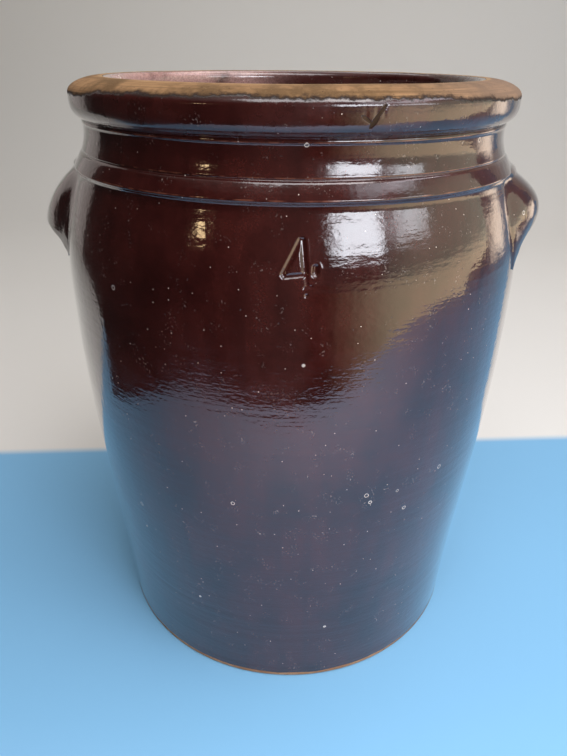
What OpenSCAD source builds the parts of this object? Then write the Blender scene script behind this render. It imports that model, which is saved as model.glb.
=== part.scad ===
// A tall stoneware storage crock that holds about four gallons.
// It stands on z = 0, and its axis is the z axis. The ears are at +x and -x, and the front is -y.
// Outlines that are turned round the axis are lists of [radius, height] points.

/* [Overall] */
// Height from the floor to the top of the rim
crock_h = 355; // [300:1:420]

/* [Foot and floor] */
// Outside diameter where the wall meets the ground
foot_d = 246; // [230:1:256]
// How far the foot's lower edge is rounded off
foot_bevel = 2; // [0.5:0.5:4]
// Lean of the wall just above the foot, in degrees from upright
foot_lean = 2.7; // [1:0.1:4]
// Thickness of the clay floor
floor_t = 12; // [8:0.5:16]
// Radius of the sweep from the floor up into the wall, inside
floor_sweep = 20; // [12:1:28]

/* [Wall] */
// Largest outside diameter
belly_d = 274; // [266:1:290]
// Height of the largest diameter, as a share of the height of the shoulder groove
belly_share = 0.744; // [0.66:0.002:0.8]
// Thickness of the wall at the foot
foot_t = 11; // [9:0.2:14]
// Thickness of the wall at the belly
wall_t = 9.4; // [7:0.2:12]
// Thickness of the wall at the shoulder groove
shoulder_t = 10.4; // [8:0.2:12]

/* [Shoulder and neck] */
// Outside diameter at the groove under the shoulder band
groove_d = 249.4; // [245:0.2:256]
// Slope of the wall where it reaches that groove, in degrees from upright
shoulder_lean = 22; // [16:0.5:28]
// Height of the undercut between the groove and the band's lower edge
undercut_h = 4; // [2:0.5:6]
// How far the band's lower edge stands out over the groove
band_overhang = 1.8; // [0.8:0.2:3]
// Height of the sloping band between its lower edge and the upper ring
band_h = 8; // [6:0.5:12]
// Slope of the band, in degrees from upright
band_lean = 31; // [24:1:36]
// Height of the neck from the upper ring to the rim
neck_h = 16; // [13:0.5:22]
// Outside diameter of the neck under the rim
neck_d = 237.4; // [232:0.2:239]
// Width of the upper ring's incised line
ring_w = 1.8; // [1:0.2:3]
// Depth of the upper ring's incised line
ring_depth = 0.9; // [0.4:0.1:1.5]
// How far the thin ridge under the rim stands out
ridge_out = 0.6; // [0.3:0.1:1.2]
// Width of that ridge
ridge_w = 0.8; // [0.4:0.1:1.4]
// Drop from the rim to the middle of that ridge
ridge_drop = 1.2; // [1.1:0.1:3]

/* [Rim] */
// Outside diameter of the rolled rim
rim_d = 249.2; // [246:0.2:256]
// Height of the rolled rim
rim_h = 20.5; // [18:0.5:26]
// Diameter of the mouth
mouth_d = 204; // [196:1:210]
// How far in from its widest part the rim's top reaches its crown
rim_crown_run = 17.8; // [10:0.2:18]
// How far the rim's top falls from its crown to its widest part
rim_crown_fall = 8; // [5:0.2:9]
// Radius of the rim's lower outer edge
rim_under_round = 8.6; // [6:0.2:9]
// Radius of the rim's inner edge
mouth_round = 4.8; // [3:0.2:6]

/* [Ears] */
// Width of an ear along the wall
ear_span = 124; // [108:1:136]
// Height of an ear, from its top to the tips of its legs
ear_h = 58; // [50:0.5:64]
// How far an ear's top laps up over the shoulder band's edge
ear_lap = 1.4; // [0:0.1:2]
// How far the left ear stands out from the wall
left_ear_reach = 21.4; // [12:0.2:26]
// How far the right ear stands out from the wall
right_ear_reach = 14.2; // [12:0.2:26]
// Drop from the left ear's top to its lip
left_lip_drop = 39.2; // [26:0.2:42]
// Drop from the right ear's top to its lip
right_lip_drop = 28.6; // [26:0.2:42]
// Width of the lip along the wall
lip_span = 103; // [92:1:107]
// Width of the finger hollow along the wall
hollow_span = 84; // [66:1:88]
// How far the finger hollow rises behind the lip
hollow_rise = 11; // [4:0.5:13]
// Thickness of a leg at its tip
ear_tip_t = 2; // [1.5:0.5:4]

/* [Capacity mark] */
// Height of the impressed numeral, over its strokes
numeral_h = 22.4; // [16:0.2:36]
// Width of the numeral, over its strokes
numeral_w = 17.2; // [13:0.2:22]
// Width of its strokes
stroke_w = 2.8; // [1.6:0.2:3.4]
// Depth of its strokes in the wall
stroke_depth = 1.2; // [0.4:0.1:2]
// Drop from the shoulder groove to the numeral's top
numeral_drop = 9.8; // [5:0.2:30]
// Lean of the numeral to its left, in degrees
numeral_lean = 5; // [-10:0.5:10]
// How far the numeral sits round from the front, towards the right ear, in degrees
numeral_turn = 5.8; // [-20:0.1:20]

/* [Hidden] */
glaze = "#3b1d19";
bare_clay = "#b39572";
$fn = 144;
// Cuts run this far past what they cut
overrun = 5;

// Points on each stretch of curve, and stations along an ear
curve_steps = 14;
arc_steps = 8;
ear_stations = 40;
face_steps = 8;
lip_steps = 5;
under_steps = 4;
back_steps = 10;

// How far each end of a curve keeps its own direction, as a share of the curve's height
lower_curve_shares = [0.46, 0.377];
upper_curve_shares = [0.436, 0.4];
neck_curve_shares = [0.3, 0.45];
inner_neck_shares = [0.28, 0.42];
// How much of the undercut is its upright floor, and the softening of the band's lower edge in
// and up, as shares of its overhang
groove_floor_share = 0.25;
band_edge_shares = [0.25, 0.5];
// Places of the numeral's stem and crossbar, as shares of its half width and half height
numeral_stem_share = 0.36;
numeral_bar_share = 0.58;
// Shape of the ear's outline, of its lip's height and of its lip's reach from the middle out to
// the legs: 1 is an ellipse, less is squarer and more is more pointed
ear_outline_share = 0.41;
lip_height_share = 0.57;
lip_reach_share = 2.7;
// Where each ear's outer face is fullest, as a share of the way down it, and by what share of
// its reach
left_crown_shares = [0.32, 0.37];
right_crown_shares = [0.45, 0.87];
// Where the rounding of the lip begins on its outer face and ends on its under face
lip_round_shares = [0.86, 0.16];
// How much of each half of an ear its leg's end is rounded over, and where the last station is
leg_end_share = 0.25;
last_station_share = 0.983;

// Heights of the parts of the wall, from the top down
rim_z = crock_h - rim_h;
ring_z = rim_z - neck_h;
band_z = ring_z - band_h;
groove_z = band_z - undercut_h;
belly_z = groove_z * belly_share;

foot_r = foot_d / 2;
belly_r = belly_d / 2;
groove_r = groove_d / 2;
neck_r = neck_d / 2;
rim_r = rim_d / 2;
mouth_r = mouth_d / 2;
band_r = groove_r + band_overhang;
ring_r = band_r - band_h * tan(band_lean);
ridge_z = rim_z - ridge_drop;

// A cubic curve from a to d that starts towards b and ends from c
function curve_point(a, b, c, d, t) =
    pow(1 - t, 3) * a + 3 * pow(1 - t, 2) * t * b + 3 * (1 - t) * t * t * c + pow(t, 3) * d;
function curve(a, b, c, d, steps) = [for (i = [0 : steps]) curve_point(a, b, c, d, i / steps)];
// A quadratic curve from a to c that bends towards b
function bend(a, b, c, steps) =
    [for (i = [0 : steps]) let(t = i / steps) (1 - t) * (1 - t) * a + 2 * (1 - t) * t * b + t * t * c];
// An arc of an ellipse round a centre, from one angle to another
function oval(centre, run, rise, from, to) =
    [for (i = [0 : arc_steps]) let(a = from + (to - from) * i / arc_steps)
        centre + [run * cos(a), rise * sin(a)]];
function arc(centre, r, from, to) = oval(centre, r, r, from, to);
// All points of a list but its first
function rest(points) = [for (i = [1 : len(points) - 1]) points[i]];

// The belly's two curves, outside or, with less radius, inside
function belly_curves(foot, belly, groove) = concat(
    curve([foot, 0],
          [foot + belly_z * lower_curve_shares[0] * tan(foot_lean), belly_z * lower_curve_shares[0]],
          [belly, belly_z * (1 - lower_curve_shares[1])],
          [belly, belly_z],
          curve_steps),
    let(rise = groove_z - belly_z, pull = rise * upper_curve_shares[1])
    rest(curve([belly, belly_z],
               [belly, belly_z + rise * upper_curve_shares[0]],
               [groove + pull * tan(shoulder_lean), groove_z - pull],
               [groove, groove_z],
               curve_steps)));

outer_belly = belly_curves(foot_r, belly_r, groove_r);
inner_belly = belly_curves(foot_r - foot_t, belly_r - wall_t, groove_r - shoulder_t);

// The foot's rounded lower edge
foot_edge = arc([foot_r - foot_bevel, foot_bevel], foot_bevel, -90, 0);
// The undercut, the sloping band, the incised ring, the neck and the thin ridge
neck_start = [ring_r - ring_w / 2 * tan(band_lean), ring_z + ring_w / 2];
neck_run = rim_z - neck_start.y;
outer_neck = concat(
    [[groove_r, groove_z + undercut_h * groove_floor_share],
     [band_r, band_z],
     [band_r - band_overhang * band_edge_shares[0], band_z + band_overhang * band_edge_shares[1]],
     [ring_r + ring_w / 2 * tan(band_lean), ring_z - ring_w / 2],
     [ring_r - ring_depth, ring_z]],
    curve(neck_start,
          neck_start + neck_run * neck_curve_shares[0] * [-tan(shoulder_lean), 1],
          [neck_r, neck_start.y + neck_run * (1 - neck_curve_shares[1])],
          [neck_r, ridge_z - ridge_w],
          curve_steps),
    [[neck_r + ridge_out, ridge_z - ridge_w / 2],
     [neck_r + ridge_out, ridge_z + ridge_w / 2],
     [neck_r + ridge_out / 2, rim_z]]);
// The inside of the neck, from the shoulder up to the mouth
inner_neck_run = rim_z - groove_z;
inner_neck_pull = inner_neck_run * inner_neck_shares[0];
inner_neck = rest(curve(
    [groove_r - shoulder_t, groove_z],
    [groove_r - shoulder_t - inner_neck_pull * tan(shoulder_lean), groove_z + inner_neck_pull],
    [mouth_r, rim_z - inner_neck_run * inner_neck_shares[1]],
    [mouth_r, rim_z],
    curve_steps));

// Radius of a belly outline at a height
function radius_at(points, z) = lookup(z, [for (p = points) [p.y, p.x]]);
sweep_z = floor_t + floor_sweep;
sweep_r = radius_at(inner_belly, sweep_z);
floor_r = sweep_r - floor_sweep;
floor_arc = arc([floor_r, sweep_z], floor_sweep, -90, 0);

wall_outside = concat(foot_edge,
                      [for (p = outer_belly) if (p.y > foot_bevel) p],
                      outer_neck);
wall_inside = concat(floor_arc,
                     [for (p = inner_belly) if (p.y > sweep_z) p],
                     inner_neck);
function reversed(points) = [for (i = [len(points) - 1 : -1 : 0]) points[i]];

// The wall's outside face as a filled outline, set in by a depth
module outside_outline(depth) {
    polygon(concat([[0, 0]], [for (p = wall_outside) p - [depth, 0]], [[0, rim_z]]));
}

// Flat round slab inside the foot of the wall
module crock_floor() {
    color(bare_clay) cylinder(r = floor_r, h = floor_t);
}

// Thrown wall, from the foot up to the neck, with the numeral pressed into its front
module crock_wall() {
    color(glaze) difference() {
        rotate_extrude() polygon(concat([[floor_r, 0]], wall_outside, reversed(wall_inside)));
        difference() {
            numeral_strokes();
            rotate_extrude() outside_outline(stroke_depth);
        }
    }
}

// Rim rolled outwards over the top of the neck, with a broad low crown and soft edges
module rolled_rim() {
    under = [rim_r - rim_under_round, rim_z + rim_under_round];
    top = [rim_r - rim_crown_run, crock_h - rim_crown_fall];
    inner = [mouth_r + mouth_round, crock_h - mouth_round];
    neck_edge = neck_r + ridge_out / 2;
    // The under edge's arc starts where it comes down to the neck
    under_start = -acos(min(1, max(0, (neck_edge - under.x) / rim_under_round)));
    color(bare_clay) rotate_extrude() polygon(concat(
        [[mouth_r, rim_z], [neck_edge, rim_z]],
        arc(under, rim_under_round, under_start, 0),
        oval(top, rim_crown_run, rim_crown_fall, 0, 90),
        arc(inner, mouth_round, 90, 180)));
}

// One straight stroke with round ends, between two points of the numeral's flat drawing
module stroke(from, to) {
    run = to - from;
    translate(from) rotate([0, 0, atan2(run.y, run.x)]) translate([0, -stroke_w / 2])
        square([norm(run), stroke_w]);
    for (end = [from, to]) translate(end) circle(d = stroke_w);
}

// The numeral 4 as strokes that reach through the front of the wall
module numeral_strokes() {
    side = (numeral_w - stroke_w) / 2;
    half = (numeral_h - stroke_w) / 2;
    stem = side * numeral_stem_share;
    bar = -half * numeral_bar_share;
    serif = stroke_w;
    mark_z = groove_z - numeral_drop - numeral_h / 2;
    rotate([0, 0, numeral_turn]) translate([0, -belly_r - overrun, mark_z]) rotate([-90, 0, 0])
        mirror([0, 1, 0]) linear_extrude(height = wall_t + overrun) rotate([0, 0, numeral_lean]) {
            stroke([stem, half], [-side, bar]);
            stroke([-side, bar], [side, bar]);
            stroke([stem, half], [stem, -half]);
            stroke([stem - serif, -half], [stem + serif, -half]);
        }
}

// A point of an ear, from its place along the wall, its height and how far it stands out
function on_wall(p) =
    let(r = radius_at(wall_outside, p[1]) + p[2], turn = p[0] / belly_r * 180 / PI)
    [r * cos(turn), r * sin(turn), p[1]];

// One section across an ear, at a share of the way from its middle to a leg's end: down its
// outer face, round its lip, under it and back along the wall
function ear_section(way, reach, lip_drop, crown_shares) =
    let(turn = 90 * way,
        top_z = band_z + ear_lap,
        tip_z = top_z - ear_h,
        lip_h = ear_h - lip_drop,
        side = sign(way) * pow(abs(sin(turn)), ear_outline_share),
        rise = pow(cos(turn), ear_outline_share),
        lip_rise = pow(cos(turn), lip_height_share),
        close = sqrt(1 - pow(max(0, 1 - (1 - abs(way)) / leg_end_share), 2)),
        out = (ear_tip_t + (reach - ear_tip_t) * pow(cos(turn), lip_reach_share)) * close,
        wide_root = [ear_span / 2 * side, tip_z + ear_h * rise, 0],
        wide_under = [hollow_span / 2 * sin(turn), tip_z + (lip_h + hollow_rise) * lip_rise, 0],
        wide_lip = [lip_span / 2 * sin(turn), tip_z + lip_h * lip_rise, 0],
        middle = (wide_root + wide_under) / 2,
        root = middle + (wide_root - middle) * close,
        under = middle + (wide_under - middle) * close,
        lip = middle + (wide_lip - middle) * close + [0, 0, out],
        crown = root + (lip - root) * crown_shares[0] + [0, 0, out * crown_shares[1]],
        face_end = crown + (lip - crown) * lip_round_shares[0],
        under_start = lip + (under - lip) * lip_round_shares[1])
    concat(bend(root, crown, face_end, face_steps),
           rest(bend(face_end, lip, under_start, lip_steps)),
           rest(bend(under_start, (under_start + under) / 2, under, under_steps)),
           [for (i = [1 : back_steps - 1]) under + (root - under) * i / back_steps]);

// An ear is a crescent of clay pressed onto the wall, with a lip to lift by and a hollow under it
module ear(reach, lip_drop, crown_shares) {
    sections = [for (i = [0 : ear_stations])
        ear_section(last_station_share * (2 * i / ear_stations - 1), reach, lip_drop, crown_shares)];
    ring = len(sections[0]);
    points = [for (section = sections) each [for (p = section) on_wall(p)]];
    sides = [for (i = [0 : ear_stations - 1], j = [0 : ring - 1])
        let(a = i * ring + j, b = i * ring + (j + 1) % ring)
        each [[a, b, b + ring], [a, b + ring, a + ring]]];
    ends = [[for (j = [ring - 1 : -1 : 0]) j],
            [for (j = [0 : ring - 1]) ear_stations * ring + j]];
    color(glaze) polyhedron(points = points, faces = concat(sides, ends), convexity = 6);
}

module left_ear() {
    mirror([1, 0, 0]) ear(left_ear_reach, left_lip_drop, left_crown_shares);
}

module right_ear() {
    ear(right_ear_reach, right_lip_drop, right_crown_shares);
}

crock_floor();
crock_wall();
rolled_rim();
left_ear();
right_ear();
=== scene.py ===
"""Looks of a tall stoneware storage crock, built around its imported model.

The origin is the middle of the foot's underside, +Z is up, +X points to the right ear and -Y to
the front. Shapes are worked out in millimetres, and each finished mesh is turned to metres.
"""

import bisect
import logging
import math
from dataclasses import dataclass, field
from enum import Enum
from typing import Callable

import bmesh
import bpy
from mathutils import Matrix, Vector, noise


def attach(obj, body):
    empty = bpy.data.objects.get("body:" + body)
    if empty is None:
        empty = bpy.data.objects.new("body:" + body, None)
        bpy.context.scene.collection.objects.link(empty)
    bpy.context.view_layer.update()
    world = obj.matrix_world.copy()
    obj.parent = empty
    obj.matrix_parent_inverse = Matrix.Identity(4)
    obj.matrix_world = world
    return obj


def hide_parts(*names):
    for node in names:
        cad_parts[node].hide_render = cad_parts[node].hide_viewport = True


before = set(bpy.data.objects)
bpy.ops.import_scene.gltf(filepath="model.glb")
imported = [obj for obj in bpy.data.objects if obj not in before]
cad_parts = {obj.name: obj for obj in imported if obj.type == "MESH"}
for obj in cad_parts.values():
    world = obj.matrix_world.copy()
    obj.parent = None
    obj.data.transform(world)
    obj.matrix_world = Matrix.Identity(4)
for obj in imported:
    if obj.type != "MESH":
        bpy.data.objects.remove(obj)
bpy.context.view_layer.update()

log = logging.getLogger("crock")

Outline = list[tuple[float, float]]
Sectors = tuple[tuple[float, int], ...]
Mesh = bmesh.types.BMesh
Tree = bpy.types.NodeTree
Source = bpy.types.Node | bpy.types.NodeSocket

METRES = 0.001  # A millimetre, in metres.
WELD = 0.004  # Vertices closer than this many millimetres become one.
AXIS = (0.0, 0.0, 1.0)


def mm(size: float) -> float:
    """Returns a size given in millimetres in metres."""
    return size * METRES


def per_mm(spacing: float) -> float:
    """Returns the texture scale at which a pattern repeats about every spacing millimetres."""
    return 1.0 / mm(spacing)


def linear(hex_colour: str) -> tuple[float, float, float, float]:
    """Turns an sRGB hex colour to the linear values that Blender's sockets hold.

    Args:
        hex_colour: A colour such as "#3b1d19".

    Returns:
        Red, green, blue and a full alpha.
    """
    parts = [int(hex_colour[i : i + 2], 16) / 255 for i in (1, 3, 5)]
    red, green, blue = (c / 12.92 if c <= 0.04045 else ((c + 0.055) / 1.055) ** 2.4 for c in parts)
    return red, green, blue, 1.0


def ease(value: float, start: float, end: float) -> float:
    """Returns 0 before start, 1 after end, and a smooth step between them."""
    share = min(1.0, max(0.0, (value - start) / (end - start)))
    return share * share * (3 - 2 * share)


def slope(degrees: float) -> float:
    """Returns the sideways run for each millimetre of rise of a line that leans so far."""
    return math.tan(math.radians(degrees))


def cubic(a: tuple, b: tuple, c: tuple, d: tuple, steps: int) -> list[tuple]:
    """Draws a cubic curve from a to d that starts towards b and ends from c.

    Args:
        a: First point.
        b: Where the start heads.
        c: Where the end comes from.
        d: Last point.
        steps: Number of stretches.

    Returns:
        The curve's points, both ends included.
    """
    points = []
    for i in range(steps + 1):
        t = i / steps
        w = ((1 - t) ** 3, 3 * (1 - t) ** 2 * t, 3 * (1 - t) * t * t, t**3)
        points.append(tuple(sum(k * p[n] for k, p in zip(w, (a, b, c, d))) for n in range(len(a))))
    return points


def bend(a: Vector, b: Vector, c: Vector, steps: int) -> list[Vector]:
    """Draws a quadratic curve from a to c that bends towards b, both ends included."""
    shares = (i / steps for i in range(steps + 1))
    return [(1 - t) ** 2 * a + 2 * (1 - t) * t * b + t * t * c for t in shares]


def oval(centre: tuple, run: float, rise: float, start: float, end: float, steps: int) -> Outline:
    """Draws an arc of an ellipse, from one angle in degrees to another.

    Args:
        centre: Radius and height of its middle.
        run: Half its width.
        rise: Half its height.
        start: First angle.
        end: Last angle.
        steps: Number of stretches.

    Returns:
        The arc's points, both ends included.
    """
    angles = (math.radians(start + (end - start) * i / steps) for i in range(steps + 1))
    return [(centre[0] + run * math.cos(a), centre[1] + rise * math.sin(a)) for a in angles]


def softened(points: Outline, reach: float, steps: int = 3) -> Outline:
    """Rounds the inner corners of an outline, as fired glaze does.

    Args:
        points: The outline with sharp corners.
        reach: How far from a corner its rounding starts.
        steps: Number of stretches in each rounding.

    Returns:
        The outline with a short curve in place of each corner.
    """
    made = [points[0]]
    for before, corner, after in zip(points, points[1:], points[2:]):
        at = Vector(corner)
        ends = []
        for other in (before, after):
            way = Vector(other) - at
            ends.append(at + way * min(0.45, reach / max(way.length, 1e-6)))
        made += [tuple(p) for p in bend(ends[0], at, ends[1], steps)]
    return made + [points[-1]]


@dataclass(frozen=True)
class Profile:
    """An outline whose heights rise, for looking up a radius at a height."""

    points: tuple[tuple[float, float], ...]
    heights: tuple[float, ...]

    @classmethod
    def of(cls, points: Outline) -> "Profile":
        """Makes a profile of radius and height pairs."""
        return cls(tuple(points), tuple(p[1] for p in points))

    def radius(self, height: float) -> float:
        """Looks up the radius at a height, or the nearest end's radius beyond the ends."""
        i = min(len(self.points) - 1, max(1, bisect.bisect_left(self.heights, height)))
        (r0, z0), (r1, z1) = self.points[i - 1], self.points[i]
        share = min(1.0, max(0.0, (height - z0) / max(z1 - z0, 1e-9)))
        return r0 + (r1 - r0) * share


@dataclass(frozen=True)
class Stroke:
    """One mark pressed or scraped into soft clay, in millimetres on the flattened surface."""

    start: tuple[float, float]
    end: tuple[float, float]
    width: float
    depth: float
    lip: float = 0.07

    def dip(self, along: float, up: float) -> float:
        """Measures how deep the mark is at a place.

        Args:
            along: Place along the surface.
            up: Height of the place.

        Returns:
            Depth in millimetres, or a small negative number on the lip of pushed-up clay.
        """
        run = (self.end[0] - self.start[0], self.end[1] - self.start[1])
        away = (along - self.start[0], up - self.start[1])
        length = run[0] ** 2 + run[1] ** 2
        share = min(1.0, max(0.0, (away[0] * run[0] + away[1] * run[1]) / max(length, 1e-9)))
        gap = math.hypot(away[0] - share * run[0], away[1] - share * run[1])
        distance = gap / (self.width / 2)
        lip = self.lip * self.depth * ease(distance, 1.0, 1.35) * (1 - ease(distance, 1.35, 2.0))
        return self.depth * (1 - ease(distance, 0.1, 1.25)) - lip


def pressed(strokes: tuple[Stroke, ...], along: float, up: float) -> float:
    """Adds up a group of marks at one place, where the deepest one counts."""
    dips = [stroke.dip(along, up) for stroke in strokes]
    deepest = max(dips)
    return deepest if deepest > 0.02 else min(0.0, min(dips))


class Side(Enum):
    """The side of the crock that an ear is on, as the sign of its x."""

    LEFT = -1
    RIGHT = 1


class Slot(Enum):
    """The record's material slots."""

    GLAZED_WALL = "slip_glaze"
    GLAZED_EAR = "ear_glaze"
    RIM_CLAY = "rim_clay"
    BARE_CLAY = "bare_clay"


# Finishes


MATH = "ShaderNodeMath"
VECTOR = "ShaderNodeVectorMath"
NOISE = "ShaderNodeTexNoise"
CELLS = "ShaderNodeTexVoronoi"
RANGE = "ShaderNodeMapRange"
MIX = "ShaderNodeMix"
SPLIT = "ShaderNodeSeparateXYZ"
SHADER = "ShaderNodeBsdfPrincipled"
TIMES = {"operation": "MULTIPLY"}
PLUS = {"operation": "ADD"}
LESS = {"operation": "SUBTRACT"}
TIMES_PLUS = {"operation": "MULTIPLY_ADD"}
MOST = {"operation": "MAXIMUM"}
SMOOTH = {"interpolation_type": "SMOOTHSTEP"}
COLOURS = {"data_type": "RGBA"}


def new_tree(owner: bpy.types.Material | bpy.types.World | bpy.types.Light) -> Tree:
    """Gives a material, a world or a lamp an empty node tree."""
    owner.use_nodes = True
    owner.node_tree.nodes.clear()
    return owner.node_tree


def add(tree: Tree, kind: str, inputs: dict | None = None, **settings) -> bpy.types.Node:
    """Adds a node with its settings, and sets or links its inputs.

    Args:
        tree: The node tree that gets it.
        kind: Blender's name of the node.
        inputs: What goes into each input, by name or number: a value, another node's output, or
            another node, whose first output in use is meant.
        settings: The node's own settings.

    Returns:
        The new node.
    """
    node = tree.nodes.new(kind)
    for name, value in settings.items():
        setattr(node, name, value)
    for key, value in (inputs or {}).items():
        if isinstance(value, bpy.types.Node):
            value = next(socket for socket in value.outputs if socket.enabled)
        if isinstance(value, bpy.types.NodeSocket):
            tree.links.new(value, node.inputs[key])
        else:
            node.inputs[key].default_value = value
    return node


@dataclass
class Layers:
    """The colour, roughness and bump height, in metres, of one finish before they meet a shader."""

    colour: Source
    roughness: Source
    height: Source


@dataclass
class Places:
    """Where a point of a piece is: its vector, x, height and distance from the axis."""

    tree: Tree
    at: Source = field(init=False)
    sideways: Source = field(init=False)
    height: Source = field(init=False)
    radius: Source = field(init=False)

    def __post_init__(self) -> None:
        """Adds the nodes that read the place."""
        tree = self.tree
        self.at = add(tree, "ShaderNodeTexCoord").outputs["Object"]
        parts = add(tree, SPLIT, {0: self.at})
        self.sideways, self.height = parts.outputs["X"], parts.outputs["Z"]
        flat = add(tree, VECTOR, {0: self.at, 1: (1, 1, 0)}, **TIMES)
        self.radius = add(tree, VECTOR, {0: flat}, operation="LENGTH")


@dataclass(frozen=True)
class SlipGlaze:
    """Iron-brown slip glaze on stoneware: a clay slip that was poured on and fired to a glass.

    It is deep and wet-looking to the eye, with an orange-peel skin over the throwing lines,
    runs that go down the wall, lighter edges where it draws back, pinholes, burst bubbles and
    pale specks where gas came out. Sizes, spacings and heights are in millimetres.
    """

    deep: str = "#2a0c0b"
    red: str = "#491d19"
    thin: str = "#7a4a3a"
    # Colour of the painted light on the left of the mouth's inside.
    mouth: str = "#bb9088"
    speck: str = "#e0d3c8"
    dust: str = "#a3958f"
    polish: float = 0.10
    haze: float = 0.14
    cloud: float = 38.0
    run_w: float = 7.0
    run_h: float = 170.0
    patch: float = 9.0
    grit: float = 1.1
    speck_gap: float = 4.2
    bubble_gap: float = 19.0
    peel: float = 3.2
    line_gap: float = 3.4
    line_run: float = 90.0
    peel_height: float = 0.080
    lines_height: float = 0.10
    runs_height: float = 0.09
    grit_height: float = 0.016
    pit_depth: float = 0.12
    thin_heights: tuple[float, ...] = (310.9, 319.3, 333.3)
    thin_w: float = 0.9
    mouth_radii: tuple[float, float] = (107.0, 104.0)
    mouth_heights: tuple[float, float] = (322.0, 345.0)
    mouth_side: tuple[float, float] = (5.0, -65.0)

    def layers(self, places: Places) -> Layers:
        """Adds the glaze's patterns to a tree.

        Args:
            places: Where the points of the piece are.

        Returns:
            The glaze's colour, roughness and bump height.
        """
        tree, at = places.tree, places.at
        clouds = {"Vector": at, "Scale": per_mm(self.cloud), "Detail": 4.0, "Roughness": 0.62}
        wide = add(tree, NOISE, clouds)
        tall = (per_mm(self.run_w), per_mm(self.run_w), per_mm(self.run_h))
        tall = add(tree, VECTOR, {0: at, 1: tall}, **TIMES)
        streaks = add(tree, NOISE, {"Vector": tall, "Scale": 1.0, "Detail": 2.0})
        ragged = add(tree, NOISE, {"Vector": at, "Scale": per_mm(self.patch), "Detail": 3.0})
        grit = add(tree, NOISE, {"Vector": at, "Scale": per_mm(self.grit), "Detail": 1.0})
        patches = add(tree, RANGE, {0: ragged, 1: 0.52, 2: 0.72}, **SMOOTH)
        grains = add(tree, RANGE, {0: grit, 1: 0.6, 2: 0.74, 4: 0.5}, **SMOOTH)
        speck, pit, pock, ring = self.marks(places)

        coats = [
            (add(tree, RANGE, {0: wide, 1: 0.24, 2: 0.66}, **SMOOTH), self.red),
            (add(tree, RANGE, {0: streaks, 1: 0.42, 2: 0.7, 4: 0.4}, **SMOOTH), self.deep),
            # Painted light: a pinkish lit patch on the left of the mouth's inside.
            (self.painted_mouth_light(places, wide), self.mouth),
            *((edge, self.thin) for edge in self.thin_edges(places, ragged)),
            (add(tree, RANGE, {0: grit, 1: 0.35, 2: 0.65, 4: 0.35}), self.deep),
            (add(tree, MATH, {0: grains, 1: patches}, **TIMES), self.dust),
            (speck, self.speck),
            (ring, self.speck),
        ]
        colour = linear(self.deep)
        for share, paint in coats:
            colour = add(tree, MIX, {0: share, 6: colour, 7: linear(paint)}, **COLOURS)

        rubbed = add(tree, RANGE, {0: wide, 1: 0.4, 2: 0.7}, **SMOOTH)
        roughness = add(tree, MATH, {0: rubbed, 1: self.haze, 2: self.polish}, **TIMES_PLUS)

        flat = add(tree, VECTOR, {0: at, 1: (1, 1, 1.8)}, **TIMES)
        peel = add(tree, NOISE, {"Vector": flat, "Scale": per_mm(self.peel), "Detail": 2.5})
        turned = (per_mm(self.line_run), per_mm(self.line_run), per_mm(self.line_gap))
        turned = add(tree, VECTOR, {0: at, 1: turned}, **TIMES)
        lines = add(tree, NOISE, {"Vector": turned, "Scale": 1.0, "Detail": 2.0})
        gritty = mm(self.grit_height)
        gritty = add(tree, MATH, {0: patches, 1: gritty, 2: gritty / 2}, **TIMES_PLUS)
        height = add(tree, MATH, {0: grit, 1: gritty}, **TIMES)
        reliefs = (
            (peel, self.peel_height),
            (lines, self.lines_height),
            (streaks, self.runs_height),
            (pit, -self.pit_depth),
            (pock, -self.pit_depth),
        )
        for pattern, out in reliefs:
            height = add(tree, MATH, {0: pattern, 1: mm(out), 2: height}, **TIMES_PLUS)
        return Layers(colour, roughness, height)

    def marks(self, places: Places) -> tuple[Source, Source, Source, Source]:
        """Marks the spots that gas left as it came out.

        Args:
            places: Where the points of the piece are.

        Returns:
            Masks of the pale specks, the pinholes, the burst bubbles and the bubbles' pale rims.
        """
        tree, at = places.tree, places.at
        cells = add(tree, CELLS, {"Vector": at, "Scale": per_mm(self.speck_gap)})
        draw = add(tree, SPLIT, {0: cells.outputs["Color"]}).outputs[0]
        dot = add(tree, RANGE, {0: cells.outputs["Distance"], 1: 0.08, 2: 0.045}, **SMOOTH)
        pale = add(tree, RANGE, {0: draw, 1: 0.66, 2: 0.68})
        hole = add(tree, RANGE, {0: draw, 1: 0.34, 2: 0.32})

        bubbles = add(tree, CELLS, {"Vector": at, "Scale": per_mm(self.bubble_gap)})
        draw = add(tree, SPLIT, {0: bubbles.outputs["Color"]}).outputs[0]
        rare = add(tree, RANGE, {0: draw, 1: 0.6, 2: 0.62})
        away = bubbles.outputs["Distance"]
        inside = add(tree, RANGE, {0: away, 1: 0.074, 2: 0.068}, **SMOOTH)
        outer = add(tree, RANGE, {0: away, 1: 0.05, 2: 0.056, 4: 0.85}, **SMOOTH)
        speck, pit, pock = (
            add(tree, MATH, {0: spot, 1: picked}, **TIMES)
            for spot, picked in ((dot, pale), (dot, hole), (inside, rare))
        )
        return speck, pit, pock, add(tree, MATH, {0: pock, 1: outer}, **TIMES)

    def thin_edges(self, places: Places, ragged: Source) -> list[Source]:
        """Marks the turned edges from which the glaze drew back, as broken lines."""
        tree, edges = places.tree, []
        broken = add(tree, RANGE, {0: ragged, 1: 0.42, 2: 0.6}, **SMOOTH)
        for height in self.thin_heights:
            off = add(tree, MATH, {0: places.height, 1: mm(height)}, **LESS)
            near = add(tree, MATH, {0: off}, operation="ABSOLUTE")
            edge = add(tree, RANGE, {0: near, 1: mm(self.thin_w / 2), 2: mm(0.1)}, **SMOOTH)
            edges.append(add(tree, MATH, {0: edge, 1: broken}, **TIMES))
        return edges

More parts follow.
